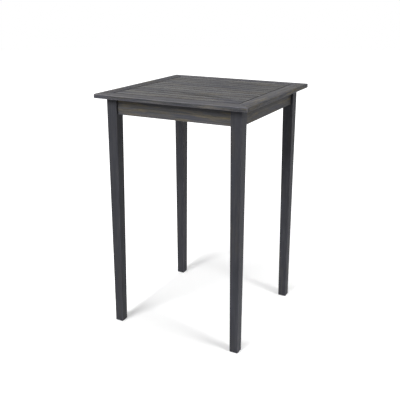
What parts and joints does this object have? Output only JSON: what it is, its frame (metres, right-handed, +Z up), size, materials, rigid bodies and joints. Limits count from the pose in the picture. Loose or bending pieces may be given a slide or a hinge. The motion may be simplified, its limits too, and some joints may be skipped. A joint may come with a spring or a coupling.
{
  "type": "outdoor bar table",
  "caption": "Square bar-height outdoor table with a mitred frame round a slatted top, recessed aprons and tapered legs drawn in by corner blocks.",
  "frame": {"origin": "on the ground under the middle of the top", "axes": "+X along the front, which is the way the slats run, +Y to the back, +Z up"},
  "size_m": [0.7, 0.7, 1.06],
  "materials": {
    "top_wood": "dark grey stain, matte, grain showing",
    "frame_wood": "dark grey stain, matte, grain showing",
    "inner_wood": "dark grey stain, matte, rubbed thinner than on the outer faces",
    "hardware": "zinc plated steel"
  },
  "bodies": {
    "root": {"rail_front": "top_wood", "rail_right": "top_wood", "rail_back": "top_wood", "rail_left": "top_wood", "corner_splines": "inner_wood", "slat_01": "top_wood", "slat_02": "top_wood", "slat_03": "top_wood", "slat_04": "top_wood", "slat_05": "top_wood", "slat_06": "top_wood", "slat_07": "top_wood", "slat_08": "top_wood", "slat_09": "top_wood", "slat_10": "top_wood", "slat_11": "top_wood", "slat_12": "top_wood", "batten_left": "inner_wood", "batten_right": "inner_wood", "cleat_left": "inner_wood", "cleat_right": "inner_wood", "apron_front": "frame_wood", "apron_right": "frame_wood", "apron_back": "frame_wood", "apron_left": "frame_wood", "leg_front_left": "frame_wood", "block_front_left": "inner_wood", "leg_front_right": "frame_wood", "block_front_right": "inner_wood", "leg_back_right": "frame_wood", "block_back_right": "inner_wood", "leg_back_left": "frame_wood", "block_back_left": "inner_wood", "leg_bolts": "hardware", "bolt_washers": "hardware", "leg_inserts": "hardware", "block_screws": "hardware", "batten_screws": "hardware", "cleat_screws": "hardware", "top_screws": "hardware"}
  },
  "joints": []
}
